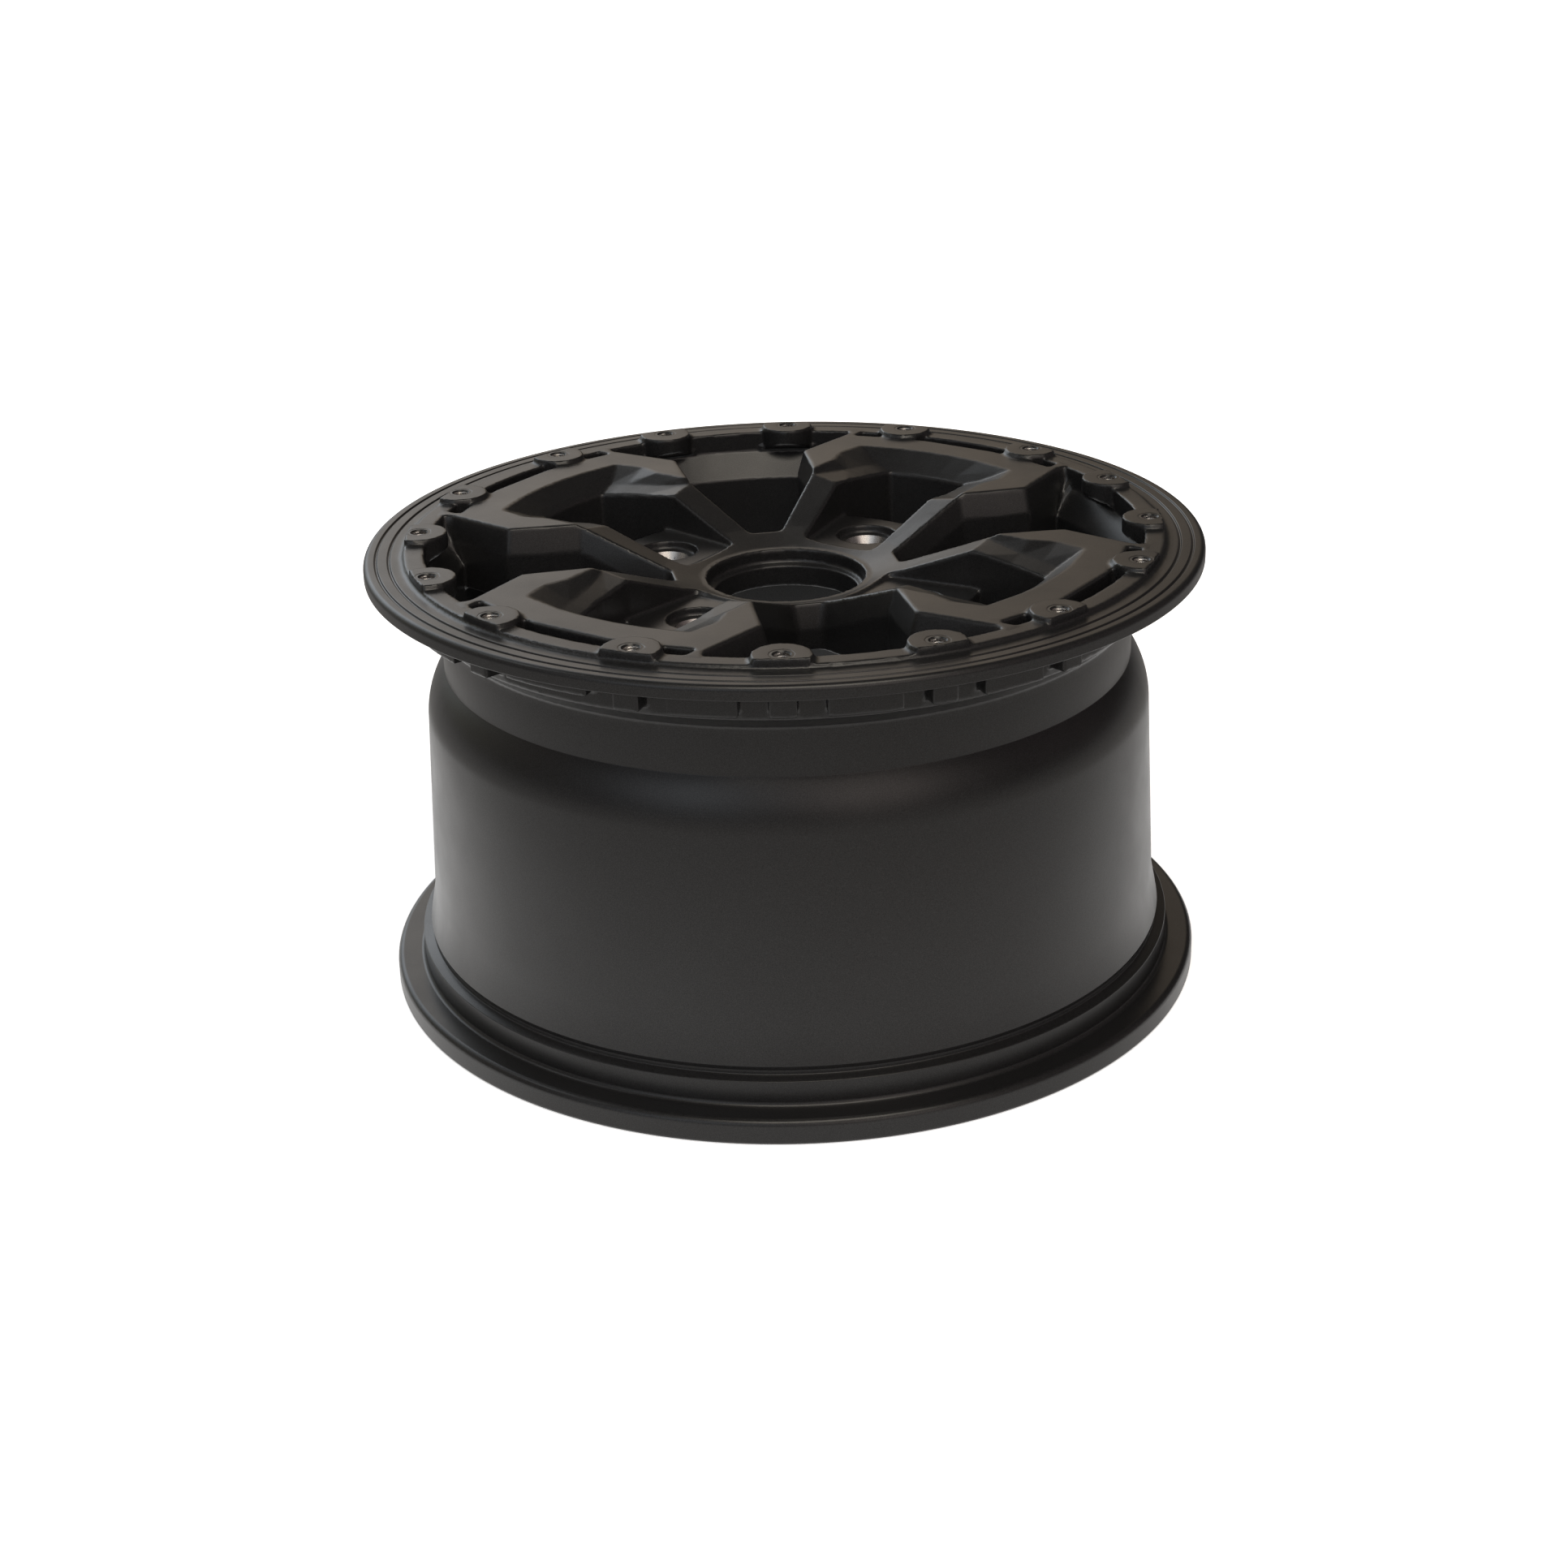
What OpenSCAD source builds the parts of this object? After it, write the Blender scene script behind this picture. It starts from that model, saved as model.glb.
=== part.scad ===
/* [Bead seat] */
// Radius of the inboard bead seat, which all other radii of the barrel and ring follow
seat_r = 178; // [176.5:0.1:180]
// Width of the inboard bead seat
seat_w = 11.5; // [9:0.5:14]
// Radius of the fillet between the flange and the bead seat
seat_fillet = 2; // [1:0.5:3]
// Depth of the relief beside the bead seat, below the seat
relief_deep = 4.6; // [4:0.1:5.5]
// Width of each slope and of the floor of that relief
relief_w = 2; // [1:0.1:3]

/* [Inboard flange] */
// Height of the inboard flange's edge outside the bead seat
flange_h = 13; // [8:0.5:18]
// Thickness of the inboard flange
flange_t = 11.5; // [8:0.5:14]
// Radius of the flange's upper outer edge
flange_round = 4; // [1:0.5:5]
// Radius of the flange's lower outer edge
flange_foot_round = 2; // [1:0.5:4]

/* [Outboard ring] */
// Height of the outboard lip's edge outside the bead seat's radius
lip_h = 13.5; // [9:0.5:20]
// Height of the grooved clamp face above the inboard edge
clamp_z = 207; // [200:0.5:225]
// Thickness of the outboard lip, from its underside to the clamp face
lip_t = 6.5; // [5:0.1:8]
// Radius of the rounded outer edge of the lip
lip_round = 2.6; // [1:0.1:4]
// Distance from the lip's edge in to the first groove in the clamp face
groove_1_in = 5.7; // [4:0.1:7]
// Distance from the lip's edge in to the second groove
groove_2_in = 11.5; // [9:0.1:13]
// Width of each groove at the clamp face
groove_w = 1.4; // [0.8:0.1:2]
// Depth of each groove
groove_deep = 0.8; // [0.4:0.1:1.5]
// Distance from the lip's edge in to the wall that centres the clamp ring
clamp_face_w = 18; // [15:0.1:20]
// Height of the centring ledge above the clamp face
ledge_up = 2; // [0.8:0.1:3]
// Width of the centring ledge
ledge_w = 9.5; // [8:0.1:11]
// Height of the upright wall under the ledge
ledge_wall = 6; // [3:0.1:7]
// Height of the cone that leads down to the barrel
cone_h = 15.5; // [12:0.5:18]
// Distance from the centring wall in to the ring's outer wall above the neck
ring_wall_in = 7; // [5:0.1:8]
// Height of the sloped shoulder between the neck and the ring's outer wall
shoulder_h = 6; // [2:0.1:7]

/* [Barrel] */
// Depth of the narrow neck behind the outboard ring, below the bead seat
neck_deep = 19; // [17:0.5:21]
// Distance from the lip's underside down to the top of the neck
neck_down = 24; // [20:0.5:26]
// Thickness of the barrel wall
wall = 5.5; // [4:0.1:6]
// Depth of the barrel below the bead seat where the hump starts
hump_deep = 10.2; // [9:0.1:12]
// Height of the start of the hump
hump_z = 130; // [110:1:140]
// Radius of the hump's round profile
hump_round = 38; // [34:0.5:44]
// Depth of the barrel just above the relief, below the bead seat
barrel_deep = 4; // [3:0.1:6]
// Depth of the barrel below the bead seat at the top of its lower taper
taper_deep = 7; // [6:0.1:9]
// Height at which the barrel's lower taper ends
taper_z = 44; // [38:1:60]

/* [Clamp bosses] */
// Distance from the centring wall in to the circle of the clamp screws
screw_in = 5.9; // [4.5:0.1:7]
// Radius of each clamp boss
boss_r = 12.8; // [11:0.1:14]
// Height of the bosses above the clamp face
boss_up = 4.5; // [3:0.1:7]
// Angle between each notch and the bosses beside it
notch_boss_angle = 11; // [9:0.25:12]
// Angle between each spoke centre and the bosses beside it
spoke_boss_angle = 12.75; // [11:0.25:14]
// Diameter of the tapped holes
tap_d = 7; // [5:0.1:8]
// Depth of the tapped holes
tap_deep = 20; // [10:1:24]
// Diameter of the countersink of each tapped hole
tap_mouth_d = 10; // [8.5:0.1:12]

/* [Bead stop blocks] */
// Distance that the blocks under the lip stand out from the ring's outer wall
block_out = 9.5; // [4:0.1:11]
// Height of the blocks
block_h = 14; // [10:0.5:17]
// Height of the long blocks behind the spokes
spoke_block_h = 10.5; // [6:0.5:14]
// Width of the gap between two blocks
block_gap = 12; // [7:0.5:13]
// Width of the short block under each boss
block_w = 11.5; // [8:0.1:14]

/* [Hub] */
// Radius of the hub bore
bore_r = 33; // [30:0.5:34]
// Radius of the cap pocket round the bore
cap_r = 36.5; // [35.5:0.5:39]
// Depth of the cap pocket
cap_deep = 6; // [3:0.5:10]
// Distance from the clamp face down to the edge of the cap pocket
hub_down = 20.7; // [18:0.1:24]
// Distance from the clamp face down to the mounting face
mount_down = 37; // [34:0.5:42]
// Radius of the mounting face and of the floor round the lug holes
pad_r = 92; // [88:0.5:98]
// Distance from the clamp face down to the floor round the lug holes
floor_down = 19.8; // [19:0.1:22]
// Radius of the circle that the lug holes lie on
lug_circle_r = 68.5; // [66:0.5:71]
// Diameter of the lug holes
lug_d = 13.5; // [11:0.5:15]
// Diameter of the wide mouth of each conical lug seat
lug_seat_d = 20; // [17:0.5:22]
// Diameter of the pocket that the lug nuts sit in
lug_pocket_d = 28; // [25:0.5:31]
// Depth of the lug pockets
lug_pocket_deep = 4; // [2:0.5:6]

/* [Spokes] */
// Height of the flat spoke tops above the clamp face
flat_up = 2.3; // [1:0.1:4]
// Radius at which the bowl round the hub turns steeper
bowl_bend_r = 56; // [50:1:70]
// Distance from the clamp face down to that bend
bowl_bend_down = 14.6; // [13:0.1:17]
// Radius at which the bowl meets the flat spoke tops
bowl_r = 98.5; // [94:0.5:104]
// Distance from the clamp face down to the back of the spokes at the barrel
back_down = 31; // [26:0.5:36]
// Distance along the spoke from the axis to the tip of its flat top
tip_along = 86; // [84:0.5:92]
// Distance from the spoke's centre line to that tip
tip_across = 42; // [40:0.5:44]
// Distance from the barrel's inner wall in to the kink in the spoke's flank
kink_in = 43; // [38:0.5:48]
// Distance from the spoke's centre line to the kink
kink_across = 64.3; // [60:0.5:67]
// Distance from the barrel's inner wall in to the outer corner of the spoke
corner_in = 6.5; // [5:0.5:10]
// Distance from the spoke's centre line to the outer corner
corner_across = 61.5; // [58:0.5:64]
// Distance that the flat spoke tops reach out past the barrel's inner wall
edge_out = 4; // [1:0.5:5]
// Distance from the spoke's centre line at which its corners join the ring
bridge_across = 57; // [54:0.5:60]
// Height of the sloped upper band of each flank
flank_h = 12; // [8:0.5:14]
// Slope of the upper band of each flank
flank_draft = 15; // [5:1:20]
// Slope of the walls below
wall_draft = 3; // [1:0.5:5]
// Radius of the corners of the notches
corner_round = 3; // [1.5:0.5:4]

/* [Notches between the spokes] */
// Radius at the inner end of each notch
notch_r = 52.5; // [51:0.5:56]
// Half of the width of that inner end
notch_half = 7.6; // [6:0.2:9]
// Radius of the round corners of the inner end
notch_round = 4.5; // [2:0.5:6]

/* [Windows in the spokes] */
// Distance from the barrel's inner wall in to the window's upper edge
window_in = 14.5; // [13:0.5:17]
// Half of the width of the window's upper outer corners
window_corner_half = 43.6; // [42:0.2:45]
// Half of the greatest width of the window's upper edge
window_half = 46; // [45:0.2:48]
// Distance along the spoke from the axis to the greatest width
window_wide_along = 117; // [114:0.5:120]
// Distance along the spoke from the axis to the bend in the window's edge
window_bend_along = 105; // [101:0.5:108]
// Half of the window's width at the bend
window_bend_half = 42; // [41:0.2:43]
// Distance from the window's upper edge in to the foot of its outer wall
foot_in = 9.5; // [7:0.5:11]
// Half of the width at the foot of the outer wall
foot_half = 30; // [28:0.5:32]
// Half of the width between the feet of the side walls at the bend
foot_bend_half = 34.5; // [32:0.5:36]
// Distance from the foot of the outer wall in to the opening
shelf_in = 3; // [2:0.5:5]
// Half of the opening's width at its outer end
opening_out_half = 22; // [20:0.5:24]
// Half of the opening's width at the bend
opening_bend_half = 25.5; // [24:0.5:27]
// Half of the opening's greatest width
opening_half = 26.5; // [25:0.5:28]
// Distance along the spoke from the axis to the opening's greatest width
opening_wide_along = 84; // [80:0.5:88]
// Half of the opening's width at the hub
opening_hub_half = 20; // [18:0.5:22]
// Distance along the spoke from the axis to the opening's corners at the hub
opening_hub_along = 43; // [41.5:0.5:46]
// Drop from the flat spoke top to the foot of the outer wall
foot_drop = 6.3; // [5:0.1:7]
// Drop from the flat spoke top to the foot of the side walls at the bend
foot_bend_drop = 4.3; // [3.5:0.1:5]
// Further drop from the feet to the edge of the opening
shelf_drop = 2.3; // [1.5:0.1:3]

/* [Hidden] */

// Number of spoke loops, and of notches between them
spokes = 4;
// Angle between a lug seat's cone and its axis
seat_cone = 30;
// Facets of round surfaces, steps of the section's arcs, and steps of the notches' corners
bore_facets = 96;
arc_steps = 6;
corner_steps = 4;
// Distance that cutters run on past the surface
above = 6;
// Overlap of a cutter with the one below it
eps = 0.01;
// Share by which a window's shelf is cut on past the edge of its opening
shelf_reach = 1.4;
// Depth to which pieces are let into their neighbours, so that they are one solid
sunk = wall / 3;

// Heights and radii that follow from the sizes above
lip_r = seat_r + lip_h;
flange_r = seat_r + flange_h;
relief_r = seat_r - relief_deep;
barrel_r = seat_r - barrel_deep;
taper_r = seat_r - taper_deep;
hump_r = seat_r - hump_deep;
neck_r = seat_r - neck_deep;
centring_r = lip_r - clamp_face_w;
ledge_r = centring_r - ledge_w;
ring_wall_r = centring_r - ring_wall_in;
screw_circle_r = centring_r - screw_in;
block_r = ring_wall_r + block_out;
ledge_z = clamp_z + ledge_up;
boss_z = clamp_z + boss_up;
flat_z = clamp_z + flat_up;
lip_z = clamp_z - lip_t;
neck_top_z = lip_z - neck_down;
ring_wall_z = neck_top_z + shoulder_h;
barrel_in_r = neck_r - wall;
cone_top_z = ledge_z - ledge_wall;
cone_z = cone_top_z - cone_h;
hub_z = clamp_z - hub_down;
mount_z = clamp_z - mount_down;
back_z = clamp_z - back_down;
floor_z = clamp_z - floor_down;
window_r = barrel_in_r - window_in;
foot_r = window_r - foot_in;
opening_r = foot_r - shelf_in;
cut_top_z = boss_z + above;
cut_bottom_z = mount_z - above;
hump_centre_r = hump_r - hump_round;
kink = [barrel_in_r - kink_in, kink_across];
corner = [barrel_in_r - corner_in, corner_across];
edge_r = barrel_in_r + edge_out;
tip = [tip_along, tip_across];

// Azimuths of the clamp bosses, counted from a notch, in one quarter
quarter = 360 / spokes;
boss_angles = [
    notch_boss_angle,
    quarter / 2 - spoke_boss_angle,
    quarter / 2 + spoke_boss_angle,
    quarter - notch_boss_angle
];

// Radius and height of the bowl's surface, from the cap pocket out
bowl = [
    [cap_r, hub_z],
    [bowl_bend_r, clamp_z - bowl_bend_down],
    [bowl_r, flat_z]
];
function bowl_z(p) = lookup(norm(p), bowl);

// Points of an arc round a centre, from one angle to another
function arc(centre, radius, from, to, steps = arc_steps) =
    [for (i = [0 : steps]) centre + radius * unit_at(from + (to - from) * i / steps)];
function unit_at(angle) = [cos(angle), sin(angle)];
function unit(v) = v / norm(v);
function turned(v, angle) = [
    v.x * cos(angle) - v.y * sin(angle),
    v.x * sin(angle) + v.y * cos(angle)
];

// A closed counter-clockwise outline moved inwards by a distance
function inset(points, distance) = [
    for (i = [0 : len(points) - 1])
        let (
            before = points[(i + len(points) - 1) % len(points)],
            after = points[(i + 1) % len(points)],
            side_1 = turned(unit(points[i] - before), 90),
            side_2 = turned(unit(after - points[i]), 90)
        )
        points[i] + (side_1 + side_2) * distance / (1 + side_1 * side_2)
];

// A closed outline with each corner replaced by an arc of its own radius
function rounded(points, radii) = [
    for (i = [0 : len(points) - 1])
        let (
            before = unit(points[(i + len(points) - 1) % len(points)] - points[i]),
            after = unit(points[(i + 1) % len(points)] - points[i]),
            half = acos(before * after) / 2,
            centre = points[i] + unit(before + after) * radii[i] / sin(half),
            start = points[i] + before * radii[i] / tan(half) - centre,
            side = before.x * after.y - before.y * after.x > 0 ? 1 : -1
        )
        for (k = [0 : corner_steps])
            centre + turned(start, side * (2 * half - 180) * k / corner_steps)
];

// The whole counter-clockwise outline, from the points of its left half listed outwards
function flipped(p) = [for (i = [0 : len(p) - 1]) i == 1 ? -p[i] : p[i]];
function reversed(list) = [for (i = [len(list) - 1 : -1 : 0]) list[i]];
function both_sides(points) = concat([for (p = points) flipped(p)], reversed(points));

// Outline points raised to a height
function at_height(points, z) = [for (p = points) [p.x, p.y, z]];

// Closed solid through rings of equally many points, listed from the top down
module loft(rings) {
    count = len(rings[0]);
    last = len(rings) - 1;
    walls = [
        for (k = [0 : last - 1])
            for (i = [0 : count - 1])
                let (a = k * count + i, b = k * count + (i + 1) % count)
                for (face = [[a, b, b + count], [a, b + count, a + count]])
                    face
    ];
    top = [for (i = [count - 1 : -1 : 0]) i];
    bottom = [for (i = [0 : count - 1]) last * count + i];
    polyhedron([for (ring = rings) for (p = ring) p], concat([top, bottom], walls));
}

// Copies at each spoke, with X along the spoke
module at_spokes() {
    for (k = [0 : spokes - 1])
        rotate(quarter * (k + 0.5))
            children();
}

// Copies at each notch, with X along the notch
module at_notches() {
    for (k = [0 : spokes - 1])
        rotate(quarter * k)
            children();
}

// Copies at each clamp boss, with X pointing outwards
module at_bosses() {
    at_notches()
        for (angle = boss_angles)
            rotate(angle)
                children();
}

// Outer side of the rim's section, from the inboard flange up to the lip
function outer_side() = concat(
    arc([flange_r - flange_foot_round, flange_foot_round], flange_foot_round, -90, 0),
    arc([flange_r - flange_round, flange_t - flange_round], flange_round, 0, 90),
    arc([seat_r + seat_fillet, flange_t + seat_fillet], seat_fillet, -90, -180),
    [
        [seat_r, flange_t + seat_w],
        [relief_r, flange_t + seat_w + relief_w / 2],
        [relief_r, flange_t + seat_w + relief_w / 2 + relief_w],
        [barrel_r, flange_t + seat_w + relief_w / 2 + 2 * relief_w],
        [taper_r, taper_z]
    ],
    arc([hump_centre_r, hump_z], hump_round, 0, acos((neck_r - hump_centre_r) / hump_round)),
    [
        [neck_r, neck_top_z],
        [ring_wall_r, ring_wall_z],
        [ring_wall_r, lip_z],
        [lip_r, lip_z]
    ]
);

// Clamp face, from the lip's round edge in to the centring wall
function groove(radius) = [
    [radius + groove_w / 2, clamp_z],
    [radius + groove_w / 4, clamp_z - groove_deep],
    [radius - groove_w / 4, clamp_z - groove_deep],
    [radius - groove_w / 2, clamp_z]
];
function clamp_face() = concat(
    arc([lip_r - lip_round, clamp_z - lip_round], lip_round, 0, 90),
    groove(lip_r - groove_1_in),
    groove(lip_r - groove_2_in)
);

// Inner side of the section, from the ledge down to the inboard edge
function inner_side() = concat(
    [
        [centring_r, clamp_z],
        [centring_r, ledge_z],
        [ledge_r, ledge_z],
        [ledge_r, cone_top_z],
        [barrel_in_r, cone_z]
    ],
    arc(
        [hump_centre_r, hump_z], hump_round - wall,
        acos((barrel_in_r - hump_centre_r) / (hump_round - wall)), 0
    ),
    [
        [taper_r - wall, taper_z],
        [barrel_r - wall, flange_t + seat_w],
        [barrel_r - wall, flange_foot_round],
        [barrel_r - wall + flange_foot_round, 0]
    ]
);

module barrel() {
    rotate_extrude($fn = bore_facets)
        polygon(concat(outer_side(), clamp_face(), inner_side()));
}

// Blocks under the lip, with a gap on each side of every boss and lower ones behind the spokes
module bead_stop_blocks() {
    half_angle = spoke_boss_angle - asin(block_w / ring_wall_r);
    far = 2 * lip_r;
    difference() {
        rotate_extrude($fn = bore_facets)
            translate([ring_wall_r - sunk, lip_z - block_h])
                square([block_r - ring_wall_r + sunk, block_h + sunk]);
        at_bosses()
            for (side = [-1, 1])
                translate([
                    ring_wall_r / 2, side * (block_w + block_gap) / 2 - block_gap / 2, lip_z - block_h - above
                ])
                    cube([block_r, block_gap, block_h + 2 * above]);
        at_spokes()
            translate([0, 0, lip_z - block_h - above])
                linear_extrude(block_h + above - spoke_block_h)
                    polygon([[0, 0], far * unit_at(-half_angle), far * unit_at(half_angle)]);
    }
}

// Clamp bosses: columns on the cone, flush with the centring wall, that end inside the ring
module clamp_bosses() {
    intersection() {
        at_bosses()
            translate([screw_circle_r, 0, cone_z])
                cylinder(r = boss_r, h = boss_z - cone_z, $fn = bore_facets);
        union() {
            translate([0, 0, lip_z + sunk])
                cylinder(r = centring_r, h = boss_z - lip_z, $fn = bore_facets);
            translate([0, 0, cone_z - above])
                cylinder(r = ledge_r + sunk, h = lip_z - cone_z + 2 * above, $fn = bore_facets);
        }
    }
}

// Tapped hole with its countersink, from the top of a boss down
module tapped_hole() {
    mouth_h = (tap_mouth_d - tap_d) / 2;
    translate([screw_circle_r, 0, boss_z - tap_deep])
        cylinder(d = tap_d, h = tap_deep + above, $fn = bore_facets);
    translate([screw_circle_r, 0, boss_z - mouth_h])
        cylinder(d1 = tap_d, d2 = tap_mouth_d, h = mouth_h, $fn = bore_facets);
}

// Disc that the spokes are cut from, with its bowl and flat top
module disc_blank() {
    rotate_extrude($fn = bore_facets)
        polygon([
            [0, mount_z],
            [pad_r, mount_z],
            [barrel_in_r - corner_in, back_z],
            [barrel_in_r + sunk, back_z],
            [barrel_in_r + sunk, cone_z - sunk],
            [ledge_r + sunk, cone_top_z],
            [ledge_r + sunk, flat_z],
            bowl[2],
            bowl[1],
            bowl[0],
            [0, hub_z]
        ]);
}

// Outline that bounds the four flat spoke tops: an arc, with corners that join the ring
module spoke_bounds() {
    far = 2 * corner_across;
    shares = [1, 2 / 3, 1 / 3];
    at_spokes()
        translate([0, 0, cut_bottom_z])
            linear_extrude(cut_top_z - cut_bottom_z)
                polygon(both_sides(concat(
                    [[0, far], [ring_wall_r, far], on_radius(ring_wall_r, bridge_across, 1)],
                    [for (share = shares) on_radius(edge_r, bridge_across, share)]
                )));
}

// Corner points of a notch, counter-clockwise, with X along the notch
function seen_from_notch(p) = [p.x + p.y, p.x - p.y] / sqrt(2);
notch_far_r = lip_r;
notch_side = [
    [notch_r, notch_half],
    seen_from_notch(tip),
    seen_from_notch(kink),
    seen_from_notch(corner),
    unit(seen_from_notch(corner)) * notch_far_r
];
notch_radii = [notch_round, 2 * corner_round, corner_round, corner_round, corner_round];
function notch_outline(distance) = rounded(
    inset(both_sides(notch_side), distance),
    concat(notch_radii, reversed(notch_radii))
);

// Cutter for one notch: a sloped upper band that follows the surface, and steep walls below
module notch_cutter() {
    rise = above / 2;
    surface = notch_outline(0);
    high = notch_outline(-rise * tan(flank_draft));
    low = notch_outline(flank_h * tan(flank_draft));
    base = notch_outline(flank_h * tan(flank_draft) + flank_h * tan(wall_draft));
    count = len(surface);
    loft([
        at_height(high, cut_top_z),
        [for (i = [0 : count - 1]) [high[i].x, high[i].y, bowl_z(surface[i]) + rise]],
        [for (i = [0 : count - 1]) [low[i].x, low[i].y, bowl_z(surface[i]) - flank_h]],
        at_height(base, cut_bottom_z)
    ]);
}

// Point on an arc round the rim's axis, at a share of the angle that reaches a half width
function on_radius(radius, half, share) = radius * unit_at(share * asin(half / radius));
function outer_arc(radius, half) = [for (share = [1, 1 / 2, 1 / 6]) on_radius(radius, half, share)];

// Half outlines of a window: its upper edge, the foot of its walls, and the opening
window_side = [
    [opening_wide_along, window_bend_half],
    [window_bend_along, window_bend_half],
    [window_wide_along, window_half],
    each outer_arc(window_r, window_corner_half)
];
foot_side = [
    [opening_wide_along, tip_across - corner_round / 2],
    [window_bend_along, foot_bend_half],
    [window_wide_along, (foot_bend_half + foot_half) / 2],
    each outer_arc(foot_r, foot_half)
];
opening_side = [
    [opening_wide_along, opening_half],
    [window_bend_along, opening_bend_half],
    [window_wide_along, (opening_bend_half + opening_out_half) / 2],
    each outer_arc(opening_r, opening_out_half)
];
foot_drops = [
    flat_z - bowl_z(foot_side[0]),
    foot_bend_drop,
    (foot_bend_drop + foot_drop) / 2,
    foot_drop,
    foot_drop,
    foot_drop
];

function lowered(points, drops) = [
    for (i = [0 : len(points) - 1]) [points[i].x, points[i].y, flat_z - drops[i]]
];

// Cutter for the sunken part of one window: its shelf slopes on past the opening's edge
module window_pocket() {
    shelf_drops = [for (drop = foot_drops) drop + shelf_drop];
    shelf_edge = lowered(opening_side, shelf_drops);
    foot = lowered(foot_side, foot_drops);
    past_edge = [for (i = [0 : len(foot) - 1]) foot[i] + (shelf_edge[i] - foot[i]) * shelf_reach];
    loft([
        both_sides(at_height(window_side, cut_top_z)),
        both_sides(at_height(window_side, flat_z)),
        both_sides(foot),
        both_sides(past_edge),
        both_sides([for (p = past_edge) [p.x, p.y, flat_z - 2 * shelf_reach * max(shelf_drops)]])
    ]);
}

// Cutter for the opening of one window, from the hub out
module window_opening() {
    opening_far = [
        [opening_hub_along, opening_hub_half],
        [opening_wide_along, opening_half],
        [window_bend_along, opening_bend_half],
        each outer_arc(opening_r, opening_out_half)
    ];
    outline = both_sides(opening_far);
    radii = [
        corner_round,
        2 * corner_round,
        2 * corner_round,
        corner_round / 2,
        corner_round,
        corner_round
    ];
    all_radii = concat(radii, reversed(radii));
    depth = flat_z - cut_bottom_z;
    loft([
        at_height(rounded(inset(outline, -above * tan(wall_draft)), all_radii), flat_z + above),
        at_height(rounded(inset(outline, depth * tan(wall_draft)), all_radii), cut_bottom_z)
    ]);
}

// Floor round the lug holes, between the ribs
module lug_floor() {
    translate([0, 0, mount_z])
        cylinder(r = pad_r, h = floor_z - mount_z, $fn = bore_facets);
}

// Lug hole with its conical seat and the pocket for the nut
module lug_hole() {
    seat_h = (lug_seat_d - lug_d) / 2 / tan(seat_cone);
    seat_z = floor_z - lug_pocket_deep;
    translate([lug_circle_r, 0, cut_bottom_z])
        cylinder(d = lug_d, h = cut_top_z - cut_bottom_z, $fn = bore_facets);
    translate([lug_circle_r, 0, seat_z])
        cylinder(d = lug_pocket_d, h = cut_top_z - seat_z, $fn = bore_facets);
    translate([lug_circle_r, 0, seat_z - seat_h])
        cylinder(d1 = lug_d, d2 = lug_seat_d, h = seat_h + eps, $fn = bore_facets);
}

module hub_bore() {
    translate([0, 0, cut_bottom_z])
        cylinder(r = bore_r, h = cut_top_z - cut_bottom_z, $fn = bore_facets);
    translate([0, 0, hub_z - cap_deep])
        cylinder(r = cap_r, h = cap_deep + above, $fn = bore_facets);
}

module spoke_disc() {
    difference() {
        union() {
            difference() {
                intersection() {
                    disc_blank();
                    spoke_bounds();
                }
                at_spokes() {
                    window_pocket();
                    window_opening();
                }
            }
            lug_floor();
        }
        at_notches()
            notch_cutter();
        at_spokes()
            lug_hole();
        hub_bore();
    }
}

module rim() {
    color([0.09, 0.09, 0.1])
        difference() {
            union() {
                barrel();
                bead_stop_blocks();
                clamp_bosses();
                spoke_disc();
            }
            at_bosses()
                tapped_hole();
        }
}

rim();
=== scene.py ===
"""Powder-coated cast wheel rim with split spokes and a grooved bead lock face.

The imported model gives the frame. The spokes and the ring round them are one casting with
rounded edges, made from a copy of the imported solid. The barrel, the flange and the clamp
face are turned surfaces joined to it. Threads and lug seats are bare metal pieces.
"""

import math

import bmesh
import bpy
from mathutils import Matrix, Vector


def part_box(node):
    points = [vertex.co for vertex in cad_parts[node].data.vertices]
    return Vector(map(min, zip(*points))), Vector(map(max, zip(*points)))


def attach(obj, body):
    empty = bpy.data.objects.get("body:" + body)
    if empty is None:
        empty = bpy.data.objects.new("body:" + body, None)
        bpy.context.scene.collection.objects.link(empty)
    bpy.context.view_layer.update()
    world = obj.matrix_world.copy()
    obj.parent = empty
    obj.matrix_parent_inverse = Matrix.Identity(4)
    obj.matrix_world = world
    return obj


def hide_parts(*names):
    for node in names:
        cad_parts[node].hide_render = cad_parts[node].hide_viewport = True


bl_info = {
    "name": "Cast Wheel Rim",
    "version": (1, 0, 0),
    "blender": (4, 5, 0),
    "location": "3D View > Sidebar > Rim",
    "description": "Builds a powder-coated cast wheel rim with split spokes",
    "category": "Object",
}

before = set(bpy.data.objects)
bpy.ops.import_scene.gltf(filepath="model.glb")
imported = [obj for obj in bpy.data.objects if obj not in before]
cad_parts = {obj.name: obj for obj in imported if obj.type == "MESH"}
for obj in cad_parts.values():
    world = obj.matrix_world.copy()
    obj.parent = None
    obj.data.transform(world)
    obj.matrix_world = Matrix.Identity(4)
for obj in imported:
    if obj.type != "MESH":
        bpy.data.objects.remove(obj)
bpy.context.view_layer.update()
RIM_NODE = "rim"
BODY = "root"
MM = 0.001

_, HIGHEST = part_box(RIM_NODE)
BOSS_TOP = HIGHEST[2]
LIP_RADIUS = HIGHEST[0]

# The casting's blank reaches this far below its lowest seam, and is trimmed a little closer
BLANK_MARGIN, TRIM_MARGIN = 10 * MM, 8 * MM
# No turned surface of the casting lies nearer to the axis than this
TURNED_FROM = 140 * MM
# Overlap of a turned surface and the casting before their rings are joined
SEAM_LAP = 1 * MM


# Sizes and colours that a user would change

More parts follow.
